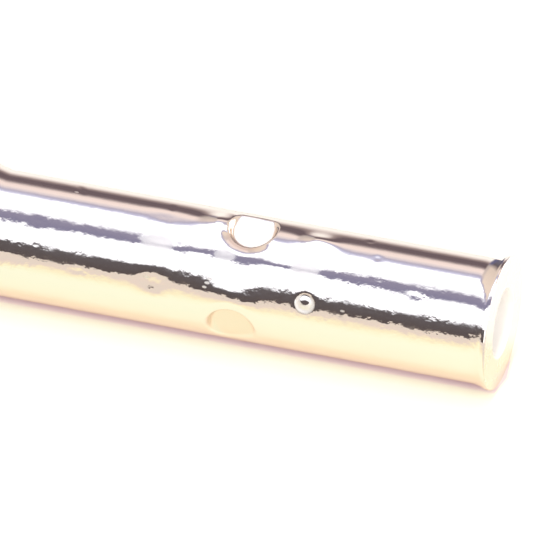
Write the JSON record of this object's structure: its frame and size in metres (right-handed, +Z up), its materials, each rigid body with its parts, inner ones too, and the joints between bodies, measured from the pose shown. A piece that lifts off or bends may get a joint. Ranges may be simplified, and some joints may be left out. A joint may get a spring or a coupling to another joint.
{
  "type": "crimp wire splice",
  "caption": "Bare tin-plated butt splice: a thick tube with flared lips, a wire bore in each end and punched wire stops round its middle.",
  "frame": {"origin": "middle of the tube, on its axis", "axes": "+X along the tube, +Z up as it lies, the stops turned 10 degrees from +Z"},
  "size_m": [0.015, 0.0038, 0.0038],
  "materials": {
    "tin_plate": "polished"
  },
  "bodies": {
    "root": {"barrel": "tin_plate"}
  },
  "joints": []
}
